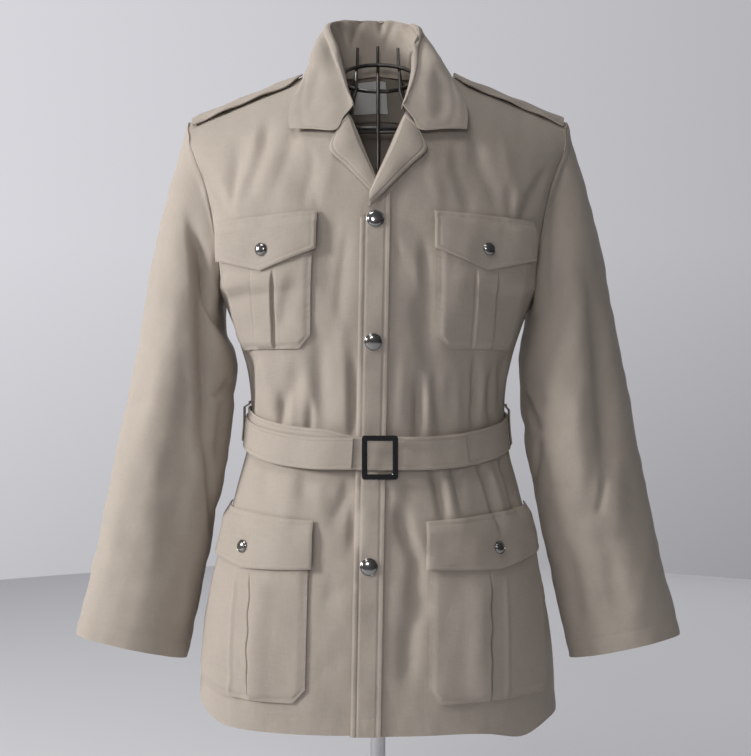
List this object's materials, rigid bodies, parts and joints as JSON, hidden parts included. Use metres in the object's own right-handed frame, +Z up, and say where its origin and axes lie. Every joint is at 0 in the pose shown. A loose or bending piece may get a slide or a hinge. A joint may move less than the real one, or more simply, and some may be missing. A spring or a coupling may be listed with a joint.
{
  "type": "safari jacket on a wire dress form",
  "caption": "Belted safari jacket in plain cotton twill with patch pockets, epaulettes and open lapels, worn by a limbless wire dress form on a pole with a round base.",
  "frame": {"origin": "Centre of the base's flat underside, on the surface it stands on.", "axes": "+Z up along the pole, the jacket's front faces -Y, the wearer's left is +X."},
  "size_m": [0.7388, 0.33, 1.1705],
  "materials": {
    "cotton_twill": "matte twill",
    "label": "matte woven",
    "button_metal": "worn silver",
    "buckle_metal": "gunmetal",
    "form_wire": "dark satin",
    "form_chrome": "polished"
  },
  "bodies": {
    "root": {"right_front": "cotton_twill", "left_front": "cotton_twill", "back": "cotton_twill", "front_placket": "cotton_twill", "neck_facing": "cotton_twill", "right_lapel": "cotton_twill", "left_lapel": "cotton_twill", "collar": "cotton_twill", "right_sleeve": "cotton_twill", "left_sleeve": "cotton_twill", "right_chest_pocket": "cotton_twill", "left_chest_pocket": "cotton_twill", "right_skirt_pocket": "cotton_twill", "left_skirt_pocket": "cotton_twill", "right_chest_flap": "cotton_twill", "left_chest_flap": "cotton_twill", "right_skirt_flap": "cotton_twill", "left_skirt_flap": "cotton_twill", "right_epaulette": "cotton_twill", "left_epaulette": "cotton_twill", "belt": "cotton_twill", "belt_free_end": "cotton_twill", "belt_fold_back": "cotton_twill", "right_belt_loop": "cotton_twill", "left_belt_loop": "cotton_twill", "neck_label": "label", "right_chest_button": "button_metal", "left_chest_button": "button_metal", "right_skirt_button": "button_metal", "left_skirt_button": "button_metal", "front_button_1": "button_metal", "front_button_2": "button_metal", "front_button_3": "button_metal", "belt_buckle": "buckle_metal", "neck_ring": "form_wire", "shoulder_ring": "form_wire", "chest_ring": "form_wire", "waist_ring": "form_wire", "hip_ring": "form_wire", "front_rib_middle": "form_wire", "front_rib_left": "form_wire", "front_rib_right": "form_wire", "back_rib_middle": "form_wire", "back_rib_left": "form_wire", "back_rib_right": "form_wire", "right_shoulder_bow": "form_wire", "left_shoulder_bow": "form_wire", "left_spoke": "form_wire", "right_spoke": "form_wire", "front_spoke": "form_wire", "back_spoke": "form_wire", "form_hub": "form_chrome", "form_pole": "form_chrome", "form_base": "form_chrome"}
  },
  "joints": []
}
